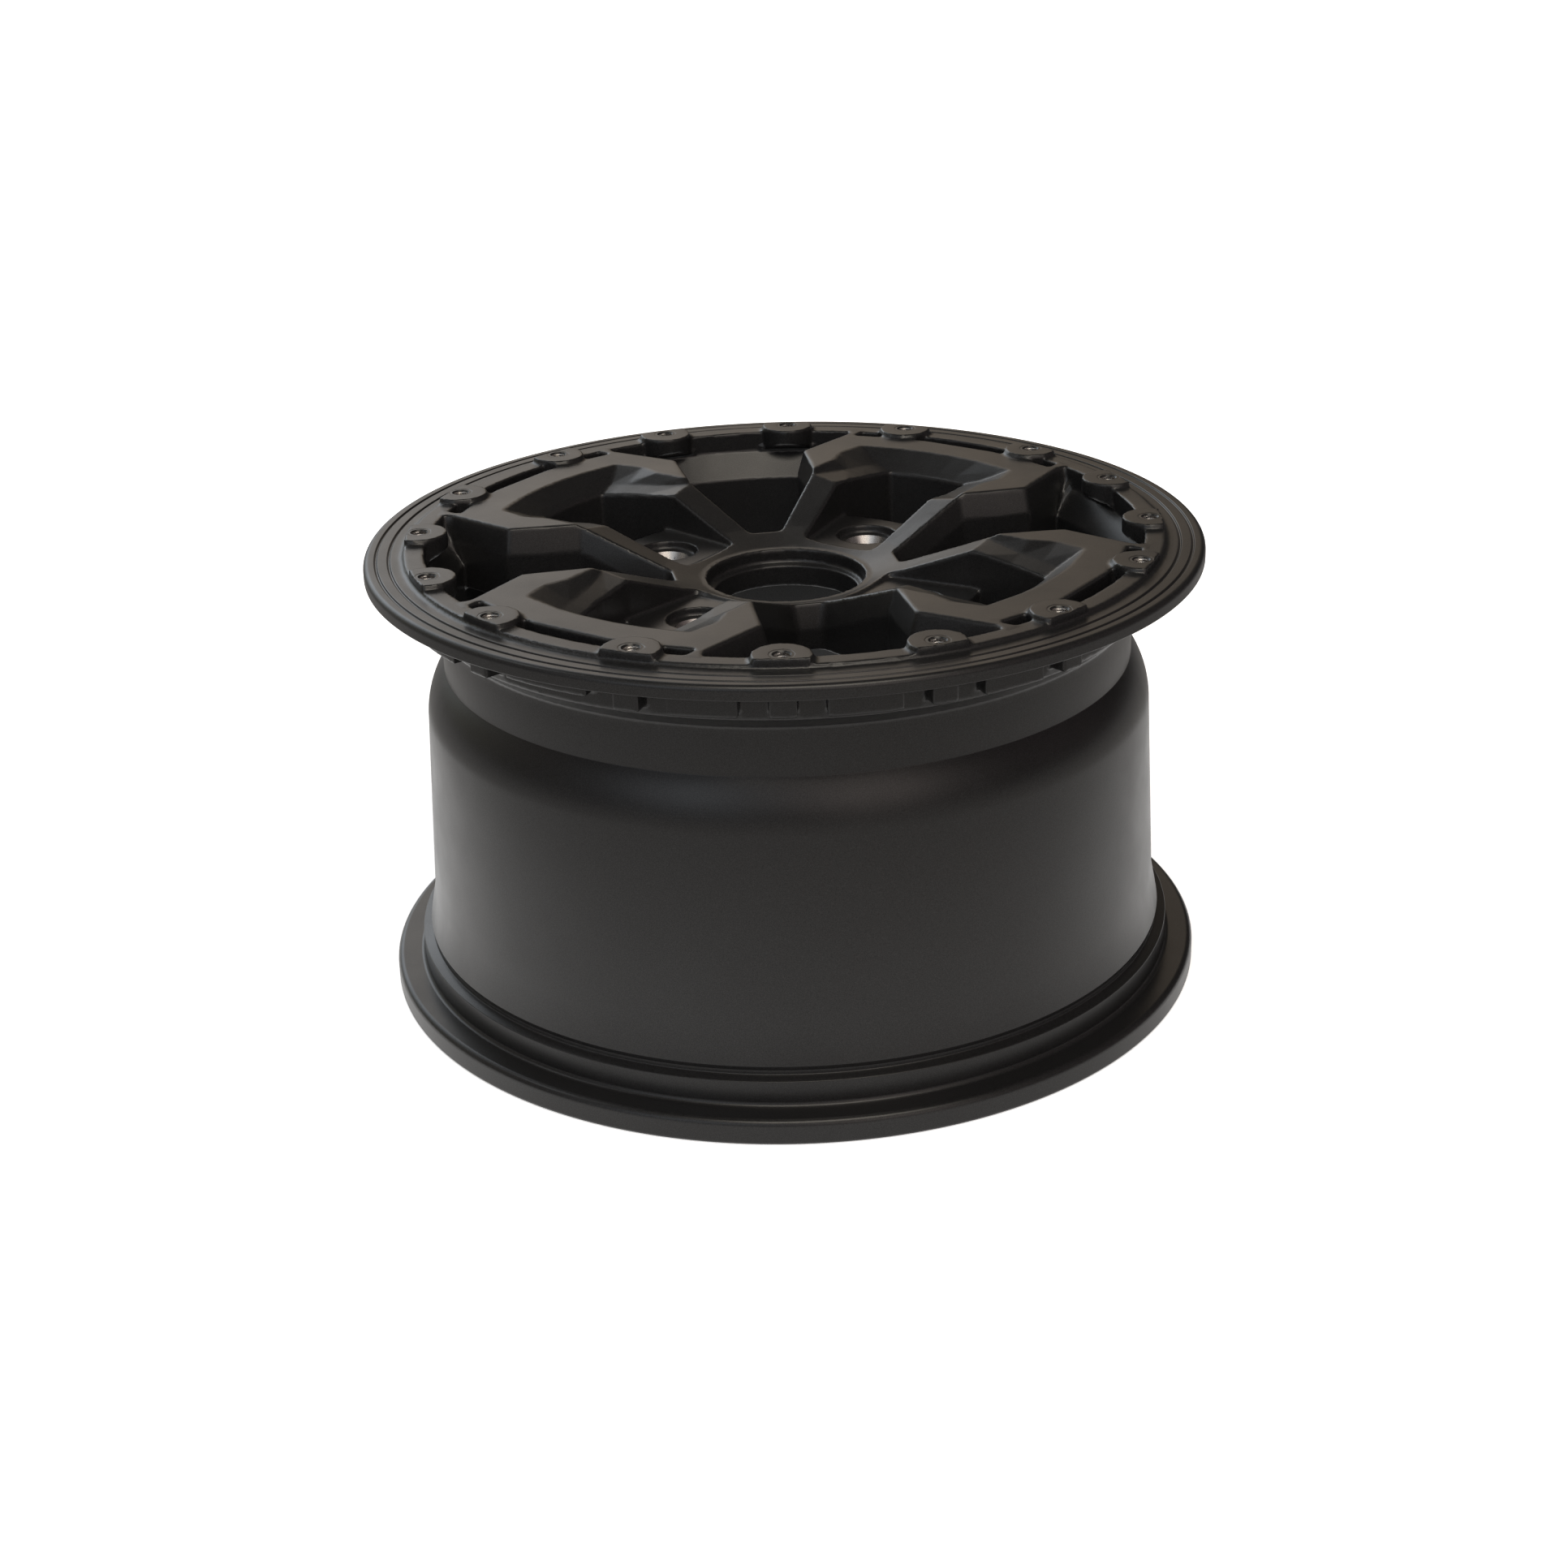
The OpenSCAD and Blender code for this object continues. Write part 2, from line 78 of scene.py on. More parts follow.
class TurnedSizes(bpy.types.PropertyGroup):
    """Radii and heights of the turned parts of the rim"""

    boss_height: bpy.props.FloatProperty(
        name="Boss Height", description="Height of the screw bosses above the clamp face",
        default=4.5 * MM, unit="LENGTH")
    lip_thickness: bpy.props.FloatProperty(
        name="Lip Thickness", description="Thickness of the outboard lip",
        default=6.5 * MM, unit="LENGTH")
    lip_rounding: bpy.props.FloatProperty(
        name="Lip Rounding", description="Radius of the outboard lip's outer edge",
        default=2.6 * MM, unit="LENGTH")
    groove_outer: bpy.props.FloatProperty(
        name="Outer Groove", description="Radius of the outer groove in the clamp face",
        default=185.8 * MM, unit="LENGTH")
    groove_inner: bpy.props.FloatProperty(
        name="Inner Groove", description="Radius of the inner groove in the clamp face",
        default=180.0 * MM, unit="LENGTH")
    groove_width: bpy.props.FloatProperty(
        name="Groove Width", description="Width of each groove in the clamp face",
        default=1.4 * MM, unit="LENGTH")
    groove_depth: bpy.props.FloatProperty(
        name="Groove Depth", description="Depth of each groove in the clamp face",
        default=0.8 * MM, unit="LENGTH")
    neck: bpy.props.FloatProperty(
        name="Neck", description="Radius of the neck behind the outboard ring",
        default=159 * MM, unit="LENGTH")
    wall: bpy.props.FloatProperty(
        name="Wall", description="Thickness of the barrel",
        default=5.5 * MM, unit="LENGTH")
    hump: bpy.props.FloatProperty(
        name="Hump", description="Radius of the barrel where it starts to round into the neck",
        default=167.8 * MM, unit="LENGTH")
    hump_height: bpy.props.FloatProperty(
        name="Hump Height", description="Height at which the barrel starts to round",
        default=130 * MM, unit="LENGTH")
    hump_rounding: bpy.props.FloatProperty(
        name="Hump Rounding", description="Radius of the round profile above the barrel",
        default=38 * MM, unit="LENGTH")
    taper: bpy.props.FloatProperty(
        name="Taper", description="Radius of the barrel where its lower taper ends",
        default=171 * MM, unit="LENGTH")
    taper_height: bpy.props.FloatProperty(
        name="Taper Height", description="Height at which the lower taper ends",
        default=44 * MM, unit="LENGTH")
    barrel: bpy.props.FloatProperty(
        name="Barrel", description="Radius of the barrel above the bead seat",
        default=174 * MM, unit="LENGTH")
    seat: bpy.props.FloatProperty(
        name="Bead Seat", description="Radius of the inboard bead seat",
        default=178 * MM, unit="LENGTH")
    seat_width: bpy.props.FloatProperty(
        name="Bead Seat Width", description="Width of the inboard bead seat",
        default=11.5 * MM, unit="LENGTH")
    relief: bpy.props.FloatProperty(
        name="Relief", description="Radius at the bottom of the groove beside the seat",
        default=173.4 * MM, unit="LENGTH")
    relief_width: bpy.props.FloatProperty(
        name="Relief Width", description="Width of the groove beside the seat",
        default=2 * MM, unit="LENGTH")
    flange: bpy.props.FloatProperty(
        name="Flange", description="Radius of the inboard flange",
        default=191 * MM, unit="LENGTH")
    flange_thickness: bpy.props.FloatProperty(
        name="Flange Thickness", description="Thickness of the inboard flange",
        default=11.5 * MM, unit="LENGTH")
    edge_rounding: bpy.props.FloatProperty(
        name="Edge Rounding", description="Radius of the coated edges of turned surfaces",
        default=0.5 * MM, unit="LENGTH")
    segments: bpy.props.IntProperty(
        name="Segments", description="Number of faces round the turned parts", default=256)


class CastingSizes(bpy.types.PropertyGroup):
    """Places and fineness of the cast part"""

    grain: bpy.props.FloatProperty(
        name="Rounding Step", description="Size of the cells that round the casting's edges",
        default=0.9 * MM, unit="LENGTH")
    passes: bpy.props.IntProperty(
        name="Rounding Passes", description="How often the edges are smoothed", default=5)
    triangles: bpy.props.IntProperty(
        name="Triangles", description="Most triangles that the casting may have",
        default=122000)
    seam_radius: bpy.props.FloatProperty(
        name="Seam Radius", description="Radius at which the casting meets the clamp face",
        default=177.3 * MM, unit="LENGTH")
    neck_seam: bpy.props.FloatProperty(
        name="Neck Seam", description="Height at which the casting meets the turned neck",
        default=172 * MM, unit="LENGTH")
    bore_seam: bpy.props.FloatProperty(
        name="Barrel Seam", description="Height of the seam on the inside of the barrel",
        default=163 * MM, unit="LENGTH")
    ledge: bpy.props.FloatProperty(
        name="Ledge", description="Inner radius of the ledge inside the clamp face",
        default=164 * MM, unit="LENGTH")
    centring: bpy.props.FloatProperty(
        name="Centring Wall", description="Radius of the low wall inside the clamp face",
        default=173.5 * MM, unit="LENGTH")
    ledge_rise: bpy.props.FloatProperty(
        name="Ledge Rise", description="Height of the ledge above the clamp face",
        default=2 * MM, unit="LENGTH")
    ledge_wall: bpy.props.FloatProperty(
        name="Ledge Wall", description="Height of the upright wall under the ledge",
        default=9.7 * MM, unit="LENGTH")
    cone_height: bpy.props.FloatProperty(
        name="Cone Height", description="Height of the cone between ledge and barrel",
        default=12.2 * MM, unit="LENGTH")
    boss_inner: bpy.props.FloatProperty(
        name="Boss Inner Face", description="Radius of the inner face of a notch boss",
        default=154.8 * MM, unit="LENGTH")
    boss_skirt: bpy.props.FloatProperty(
        name="Boss Skirt", description="Height of the inner face of a notch boss",
        default=7.5 * MM, unit="LENGTH")
    boss_underside: bpy.props.FloatProperty(
        name="Boss Underside", description="Height of the slope under a notch boss",
        default=4 * MM, unit="LENGTH")
    boss_reach: bpy.props.FloatProperty(
        name="Boss Reach", description="Half of the angle that a notch boss takes up",
        default=math.radians(5.2), subtype="ANGLE")
    window_reach: bpy.props.FloatProperty(
        name="Window Reach", description="Angle from a notch to the end of the cone beside it",
        default=math.radians(20.4), subtype="ANGLE")


class BareMetalSizes(bpy.types.PropertyGroup):
    """Screw threads and lug seats"""

    screw_circle: bpy.props.FloatProperty(
        name="Screw Circle", description="Radius of the circle of clamp screws",
        default=167.6 * MM, unit="LENGTH")
    notch_angle: bpy.props.FloatProperty(
        name="Notch Angle", description="Angle from a notch to the screws beside it",
        default=math.radians(11), subtype="ANGLE")
    spoke_angle: bpy.props.FloatProperty(
        name="Spoke Angle", description="Angle from a spoke's middle to the screws beside it",
        default=math.radians(12.75), subtype="ANGLE")
    tapping_radius: bpy.props.FloatProperty(
        name="Tapping Radius", description="Radius of each hole before its thread is cut",
        default=3.5 * MM, unit="LENGTH")
    hole_depth: bpy.props.FloatProperty(
        name="Hole Depth", description="Depth of each threaded hole",
        default=20 * MM, unit="LENGTH")
    notch_hole_depth: bpy.props.FloatProperty(
        name="Notch Hole Depth", description="Depth of each threaded hole in a notch boss",
        default=8.5 * MM, unit="LENGTH")
    thread_pitch: bpy.props.FloatProperty(
        name="Thread Pitch", description="Distance between two turns of a thread",
        default=1.25 * MM, unit="LENGTH")
    mouth_radius: bpy.props.FloatProperty(
        name="Mouth Radius", description="Radius of each countersink",
        default=4.1 * MM, unit="LENGTH")
    lug_circle: bpy.props.FloatProperty(
        name="Lug Circle", description="Radius of the circle of lug holes",
        default=68.5 * MM, unit="LENGTH")
    lug_seat_drop: bpy.props.FloatProperty(
        name="Lug Seat Drop", description="Depth of the lug pockets' floor under the boss tops",
        default=28.3 * MM, unit="LENGTH")
    lug_mouth: bpy.props.FloatProperty(
        name="Lug Seat Mouth", description="Radius of the wide end of a lug seat",
        default=10 * MM, unit="LENGTH")
    lug_hole: bpy.props.FloatProperty(
        name="Lug Hole", description="Radius of a lug hole",
        default=6.75 * MM, unit="LENGTH")
    lug_seat_angle: bpy.props.FloatProperty(
        name="Lug Seat Angle", description="Angle between a lug seat's wall and its axis",
        default=math.radians(30), subtype="ANGLE")
    lug_bore_depth: bpy.props.FloatProperty(
        name="Lug Bore Depth", description="Length of the bare bore under a lug seat",
        default=6.5 * MM, unit="LENGTH")


class FinishColours(bpy.types.PropertyGroup):
    """Colours of the finish and of the stage"""

    coat: bpy.props.FloatVectorProperty(
        name="Powder Coat", description="Colour of the powder coat", subtype="COLOR",
        size=3, min=0, max=1, default=(0.012, 0.012, 0.0125))
    metal: bpy.props.FloatVectorProperty(
        name="Bare Metal", description="Colour of the cut aluminium", subtype="COLOR",
        size=3, min=0, max=1, default=(0.62, 0.60, 0.58))
    floor: bpy.props.FloatVectorProperty(
        name="Floor", description="Colour of the floor", subtype="COLOR",
        size=3, min=0, max=1, default=(0.80, 0.80, 0.80))


# Small helpers for meshes

def new_object(name, mesh):
    """Links a new object with this mesh, standing at the origin."""
    thing = bpy.data.objects.new(name, mesh)
    bpy.context.scene.collection.objects.link(thing)
    return thing


def with_modifiers_applied(thing, name):
    """A plain mesh of the object as its modifiers show it. The object itself is removed."""
    shown = thing.evaluated_get(bpy.context.evaluated_depsgraph_get())
    mesh = bpy.data.meshes.new_from_object(shown)
    mesh.name = name
    bpy.data.objects.remove(thing)
    return mesh


def arc_points(centre, radius, start, end, steps):
    """Points of an arc in the section plane, between two angles in degrees."""
    angles = [math.radians(start + (end - start) * k / steps) for k in range(steps + 1)]
    x, y = centre
    return [Vector((x + radius * math.cos(a), y + radius * math.sin(a))) for a in angles]


def with_round_corners(points, rounding, steps=3, straight=math.radians(12)):
    """The section with its corners rounded, apart from those that are nearly straight."""
    result = [points[0]]
    for before, here, after in zip(points, points[1:], points[2:]):
        back, on = (before - here), (after - here)
        turn = math.pi - back.angle(on)
        if turn < straight:
            result.append(here)
            continue
        reach = rounding * math.tan(turn / 2)
        reach = min(reach, back.length / 2.2, on.length / 2.2)
        start, end = here + back.normalized() * reach, here + on.normalized() * reach
        for k in range(steps + 1):
            t = k / steps
            result.append(start.lerp(here, t).lerp(here.lerp(end, t), t))
    return result + [points[-1]]


def add_turned(mesh, section, segments):
    """Turns a section round the Z axis and returns the rings of its two ends."""
    rows = []
    angles = [2 * math.pi * s / segments for s in range(segments)]
    for p in section:
        rows.append([
            mesh.verts.new((p.x * math.cos(a), p.x * math.sin(a), p.y)) for a in angles])
    for low, high in zip(rows, rows[1:]):
        for s in range(segments):
            t = (s + 1) % segments
            mesh.faces.new((low[s], low[t], high[t], high[s]))
    return rows[0], rows[-1]


# The casting

def cut_along(mesh, measure, limit):
    """Splits faces where a measure of the point passes the limit, and drops those beyond."""
    crossing = []
    for edge in mesh.edges:
        a, b = (measure(v.co) for v in edge.verts)
        if (a - limit) * (b - limit) < 0:
            crossing.append((edge, edge.verts[0], (limit - a) / (b - a)))
    made = [bmesh.utils.edge_split(edge, start, share)[1] for edge, start, share in crossing]
    bmesh.ops.connect_verts(mesh, verts=made)
    beyond = [f for f in mesh.faces if measure(f.calc_center_median()) > limit]
    bmesh.ops.delete(mesh, geom=beyond, context="FACES")


def open_rings(mesh):
    """The closed loops of boundary vertices."""
    left = {e for e in mesh.edges if e.is_boundary}
    rings = []
    while left:
        edge = left.pop()
        ring = [edge.verts[0], edge.verts[1]]
        while True:
            following = [e for e in ring[-1].link_edges if e in left]
            if not following:
                break
            left.discard(following[0])
            ring.append(following[0].other_vert(ring[-1]))
        rings.append(ring[:-1] if ring[-1] == ring[0] else ring)
    return rings


def zip_rings(mesh, one, other):
    """Joins two rings round the Z axis by a strip of triangles, in order of their azimuth."""
    def azimuth(v):
        return math.atan2(v.co.y, v.co.x) % (2 * math.pi)

    def after(ring, k):
        return azimuth(ring[k + 1]) if k + 1 < len(ring) else azimuth(ring[0]) + 2 * math.pi

    one, other = sorted(one, key=azimuth), sorted(other, key=azimuth)
    i = j = 0
    while i < len(one) or j < len(other):
        a, b = one[i % len(one)], other[j % len(other)]
        if j >= len(other) or (i < len(one) and after(one, i) <= after(other, j)):
            mesh.faces.new((a, one[(i + 1) % len(one)], b))
            i += 1
        else:
            mesh.faces.new((a, other[(j + 1) % len(other)], b))
            j += 1


def remove_islands(mesh):
    """Keeps the largest connected shell, and drops what thinning leaves of closed pores."""
    left = set(mesh.verts)
    largest = set()
    while left:
        front = [left.pop()]
        shell = set(front)
        while front:
            for edge in front.pop().link_edges:
                fresh = [v for v in edge.verts if v not in shell]
                shell.update(fresh)
                front += fresh
        left -= shell
        largest = max(largest, shell, key=len)
    small = [v for v in mesh.verts if v not in largest]
    bmesh.ops.delete(mesh, geom=small, context="VERTS")


def capped_top_of_solid(height):
    """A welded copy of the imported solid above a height, closed where it was cut."""
    weld, on_plane = 0.002 * MM, 0.001 * MM
    solid = bmesh.new()
    solid.from_mesh(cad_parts[RIM_NODE].data)
    bmesh.ops.remove_doubles(solid, verts=solid.verts, dist=weld)
    cut = bmesh.ops.bisect_plane(
        solid, geom=solid.verts[:] + solid.edges[:] + solid.faces[:], dist=on_plane,
        plane_co=(0, 0, height), plane_no=(0, 0, -1), clear_outer=True)
    edges = [e for e in cut["geom_cut"] if isinstance(e, bmesh.types.BMEdge)]
    bmesh.ops.triangle_fill(solid, use_beauty=True, edges=edges)
    bmesh.ops.recalc_face_normals(solid, faces=solid.faces)
    mesh = bpy.data.meshes.new("casting_blank")
    solid.to_mesh(mesh)
    solid.free()
    return mesh


def add_sector(mesh, outline, start, end, step=math.radians(0.7)):
    """A closed solid: the outline turned round the Z axis from one azimuth to another."""
    count = math.ceil((end - start) / step)
    rows = [
        [mesh.verts.new((r * math.cos(a), r * math.sin(a), z)) for r, z in outline]
        for a in (start + (end - start) * k / count for k in range(count + 1))
    ]
    size = len(outline)
    for one, other in zip(rows, rows[1:]):
        for k in range(size):
            mesh.faces.new((one[k], one[(k + 1) % size], other[(k + 1) % size], other[k]))
    mesh.faces.new(rows[0])
    mesh.faces.new(reversed(rows[-1]))


def cutter_object(name, outline, sectors):
    """Sectors of one outline in every quarter, as an object for a boolean modifier."""
    solid = bmesh.new()
    for quarter in range(4):
        for start, end in sectors:
            turn = quarter * math.pi / 2
            add_sector(solid, outline, turn + start, turn + end)
    bmesh.ops.recalc_face_normals(solid, faces=solid.faces)
    mesh = bpy.data.meshes.new(name)
    solid.to_mesh(mesh)
    solid.free()
    return new_object(name, mesh)


def under_ledge_cutters(sizes, turned, notch_angle):
    """Solids that shorten the notch bosses and cut the cone down to its place."""
    ledge = BOSS_TOP - turned.boss_height + sizes.ledge_rise
    bore = turned.neck - turned.wall
    wall_foot = ledge - sizes.ledge_wall
    cone_foot = wall_foot - sizes.cone_height
    slope = (sizes.ledge - bore) / sizes.cone_height
    past, above_foot = 1 * MM, 4 * MM
    void = TURNED_FROM - 0.5 * MM
    wall = sizes.ledge - 0.05 * MM
    cone = [(bore - slope * past, cone_foot - past), (wall, wall_foot)]
    skirt = BOSS_TOP - sizes.boss_skirt
    fall = sizes.boss_underside / (sizes.ledge - sizes.boss_inner)
    rise = (sizes.boss_inner - void) * fall
    under_boss = [(void, cone_foot - past)] + cone + [
        (wall, skirt - sizes.boss_underside), (sizes.boss_inner, skirt), (void, skirt + rise)]
    sliver = [(cone[0][0] - past, cone_foot - past)] + cone + [
        (wall, wall_foot + above_foot), (wall - past, wall_foot + above_foot)]
    near, far = notch_angle - sizes.boss_reach, notch_angle + sizes.boss_reach
    reach, lap = sizes.window_reach, math.radians(0.3)
    return [
        cutter_object("under_bosses", under_boss, [(near, far), (-far, -near)]),
        cutter_object("beside_bosses", sliver, [
            (-near - lap, near + lap), (far - lap, reach), (-reach, lap - far)]),
    ]


def hole_plugs(bare):
    """Cylinders that close the lower part of the tapped holes in the notch bosses."""
    solid = bmesh.new()
    wider, deeper = 0.7 * MM, 1 * MM
    top, bottom = BOSS_TOP - bare.notch_hole_depth, BOSS_TOP - bare.hole_depth - deeper
    radius = bare.tapping_radius + wider
    for quarter in range(4):
        for side in (-1, 1):
            turn = quarter * math.pi / 2 + side * bare.notch_angle
            centre = Vector((math.cos(turn), math.sin(turn), 0)) * bare.screw_circle
            centre.z = (top + bottom) / 2
            bmesh.ops.create_cone(
                solid, cap_ends=True, segments=32, radius1=radius, radius2=radius,
                depth=top - bottom, matrix=Matrix.Translation(centre))
    mesh = bpy.data.meshes.new("hole_plugs")
    solid.to_mesh(mesh)
    solid.free()
    return new_object("hole_plugs", mesh)


def rounded_casting(sizes, turned, bare):
    """The casting with rounded edges, still closed."""
    tools = [(hole_plugs(bare), "UNION")]
    cutters = under_ledge_cutters(sizes, turned, bare.notch_angle)
    tools += [(cutter, "DIFFERENCE") for cutter in cutters]
    thing = new_object("casting_blank", capped_top_of_solid(sizes.bore_seam - BLANK_MARGIN))
    for tool, operation in tools:
        step = thing.modifiers.new(tool.name, "BOOLEAN")
        step.operation = operation
        step.solver = "EXACT"
        step.object = tool
    remesh = thing.modifiers.new("cells", "REMESH")
    remesh.mode = "VOXEL"
    remesh.voxel_size = sizes.grain
    mesh = with_modifiers_applied(thing, "casting_cells")
    for tool, _ in tools:
        bpy.data.objects.remove(tool)
    snap_to_turned(mesh, casting_section(sizes, turned))
    thing = new_object("casting_cells", mesh)
    smooth = thing.modifiers.new("rounding", "SMOOTH")
    smooth.factor = 0.5
    smooth.iterations = sizes.passes
    return with_modifiers_applied(thing, "casting_smooth")


def cut_at_seams(mesh, sizes, turned):
    """Keeps what lies above the two lower seams and inside the seam on the clamp face."""
    middle = turned.neck - turned.wall / 2
    bore_seam, neck_seam = sizes.bore_seam, sizes.neck_seam

    def below_seam(point):
        return (bore_seam if point.xy.length < middle else neck_seam) - point.z

    def beyond_seam(point):
        return point.xy.length - sizes.seam_radius

    shell = bmesh.new()
    shell.from_mesh(mesh)
    low = [f for f in shell.faces if f.calc_center_median().z < bore_seam - TRIM_MARGIN]
    bmesh.ops.delete(shell, geom=low, context="FACES")
    cut_along(shell, below_seam, 0)
    cut_along(shell, beyond_seam, 0)
    bmesh.ops.delete(shell, geom=[v for v in shell.verts if not v.link_faces], context="VERTS")
    shell.to_mesh(mesh)
    shell.free()


def thinned(mesh, triangles):
    """The mesh with no more triangles than this."""
    mesh.calc_loop_triangles()
    thing = new_object("casting_thick", mesh)
    thinner = thing.modifiers.new("fewer", "DECIMATE")
    thinner.ratio = min(1, triangles / len(mesh.loop_triangles))
    return with_modifiers_applied(thing, "casting")


def casting_section(sizes, turned):
    """Turned surfaces within the casting, as stretches of its section."""
    clamp = BOSS_TOP - turned.boss_height
    ledge = clamp + sizes.ledge_rise
    bore = turned.neck - turned.wall
    wall_foot = ledge - sizes.ledge_wall
    cone_foot = wall_foot - sizes.cone_height
    neck_from, neck_to = sizes.neck_seam + 3 * MM, sizes.neck_seam - 12 * MM
    return [
        ((sizes.centring, clamp), (sizes.centring, ledge)),
        ((sizes.ledge, ledge), (sizes.ledge, wall_foot)),
        ((sizes.ledge, wall_foot), (bore, cone_foot)),
        ((bore, cone_foot), (bore, sizes.bore_seam - 5 * MM)),
        ((turned.neck, neck_from), (turned.neck, neck_to)),
    ]


def snap_to_turned(mesh, stretches, near=0.35 * MM):
    """Moves points that lie almost on a turned surface exactly onto it."""
    for v in mesh.vertices:
        radius, z = v.co.xy.length, v.co.z
        if radius < TURNED_FROM:
            continue
        point = Vector((radius, z))
        for a, b in stretches:
            a, b = Vector(a), Vector(b)
            along = (b - a).normalized()
            t = (point - a).dot(along)
            if not 0 <= t <= (b - a).length:
                continue
            foot = a + along * t
            if (foot - point).length < near:
                v.co.x *= foot.x / radius
                v.co.y *= foot.x / radius
                v.co.z = foot.y
                break


def barrel_section(turned, casting):
    """Section of the barrel from the inner seam down, round the flange and up to the neck."""
    wall = turned.wall
    centre = (turned.hump - turned.hump_rounding, turned.hump_height)
    inner_rounding = turned.hump_rounding - wall
    bend = math.degrees(math.acos((turned.neck - centre[0]) / turned.hump_rounding))
    inner_bend = math.degrees(math.acos((turned.neck - wall - centre[0]) / inner_rounding))
    foot, flange_edge = 2 * MM, 3 * MM
    seat_top = turned.flange_thickness + turned.seat_width
    step = turned.relief_width
    inside = [Vector((turned.neck - wall, casting.bore_seam - SEAM_LAP))]
    inside += arc_points(centre, inner_rounding, inner_bend, 0, 10)
    inside += [
        Vector((turned.taper - wall, turned.taper_height)),
        Vector((turned.barrel - wall, seat_top)),
        Vector((turned.barrel - wall, foot)),
        Vector((turned.barrel - wall + foot, 0)),
    ]
    outside = arc_points((turned.flange - foot, foot), foot, -90, 0, 8)
    outside += arc_points(
        (turned.flange - flange_edge, turned.flange_thickness - flange_edge), flange_edge, 0, 90, 8)
    outside += arc_points(
        (turned.seat + foot, turned.flange_thickness + foot), foot, -90, -180, 8)
    outside += [
        Vector((turned.seat, seat_top)),
        Vector((turned.relief, seat_top + step / 2)),
        Vector((turned.relief, seat_top + step * 3 / 2)),
        Vector((turned.barrel, seat_top + step * 5 / 2)),
        Vector((turned.taper, turned.taper_height)),
    ]
    outside += arc_points(centre, turned.hump_rounding, 0, bend, 14)
    outside.append(Vector((turned.neck, casting.neck_seam - SEAM_LAP)))
    return with_round_corners(inside + outside, turned.edge_rounding)


def lip_section(turned, casting):
    """Section of the lip, from the seam on its underside out to the seam on the clamp face."""
    clamp = BOSS_TOP - turned.boss_height
    under = clamp - turned.lip_thickness
    half, deep = turned.groove_width / 2, turned.groove_depth
    seam, edge = casting.seam_radius + SEAM_LAP, turned.lip_rounding
    section = [Vector((seam, under)), Vector((LIP_RADIUS, under))]
    section += arc_points((LIP_RADIUS - edge, clamp - edge), edge, 0, 90, 8)
    for radius in (turned.groove_outer, turned.groove_inner):
        section += [
            Vector((radius + half, clamp)), Vector((radius + half / 2, clamp - deep)),
            Vector((radius - half / 2, clamp - deep)), Vector((radius - half, clamp)),
        ]
    section.append(Vector((seam, clamp)))
    return with_round_corners(section, turned.edge_rounding)


class RIM_OT_casting(bpy.types.Operator):
    """Builds the rim: cast spokes and ring with turned barrel, flange and clamp face"""

    bl_idname = "rim.casting"
    bl_label = "Build Casting"

    def execute(self, context):
        scene = context.scene
        turned, casting = scene.turned_sizes, scene.casting_sizes
        cast = rounded_casting(casting, turned, scene.bare_metal_sizes)
        cut_at_seams(cast, casting, turned)
        mesh = bmesh.new()
        mesh.from_mesh(thinned(cast, casting.triangles))
        barrel_ends = add_turned(mesh, barrel_section(turned, casting), turned.segments)
        lip_ends = add_turned(mesh, lip_section(turned, casting), turned.segments)
        ends = barrel_ends + lip_ends
        fresh = {v for ring in ends for v in ring}
        for ring in open_rings(mesh):
            if ring[0] in fresh:
                continue
            radius = sum(v.co.xy.length for v in ring) / len(ring)
            z = sum(v.co.z for v in ring) / len(ring)
            zip_rings(mesh, ring, min(ends, key=lambda end: math.hypot(
                end[0].co.xy.length - radius, end[0].co.z - z)))
        remove_islands(mesh)
        bmesh.ops.recalc_face_normals(mesh, faces=mesh.faces)
        for face in mesh.faces:
            face.smooth = True
        finished = bpy.data.meshes.new("rim_casting")
        mesh.to_mesh(finished)
        mesh.free()
        rim = new_object("rim_casting", finished)
        weighted = rim.modifiers.new("flat faces first", "WEIGHTED_NORMAL")
        weighted.keep_sharp = False
        finished.materials.append(powder_coat(scene.finish_colours))
        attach(rim, BODY)
        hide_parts(RIM_NODE)
        return {"FINISHED"}


# Bare metal: threads and lug seats

class Tree:
    """Short names for building a node tree."""

    def __init__(self, tree):
        self.tree = tree

    def node(self, kind, inputs=None, **settings):
        """Adds a node. Inputs are values or output sockets, by name or index."""
        node = self.tree.nodes.new(kind)
        for name, value in settings.items():
            setattr(node, name, value)
        for name, value in (inputs or {}).items():
            if isinstance(value, bpy.types.NodeSocket):
                self.tree.links.new(value, node.inputs[name])
            else:
                node.inputs[name].default_value = value
        return node

    def math(self, operation, a, b=0.0):
        return self.node("ShaderNodeMath", {0: a, 1: b}, operation=operation).outputs[0]


def geometry_group(name, sizes):
    """A geometry tree with float inputs for its sizes. Returns the tree and its input node."""
    group = bpy.data.node_groups.new(name, "GeometryNodeTree")
    group.interface.new_socket("Geometry", in_out="INPUT", socket_type="NodeSocketGeometry")
    group.interface.new_socket("Geometry", in_out="OUTPUT", socket_type="NodeSocketGeometry")
    for label in sizes:
        group.interface.new_socket(label, in_out="INPUT", socket_type="NodeSocketFloat")
    for label in ("Metal", "Coat"):
        group.interface.new_socket(label, in_out="INPUT", socket_type="NodeSocketMaterial")
    tree = Tree(group)
    return tree, tree.node("NodeGroupInput").outputs


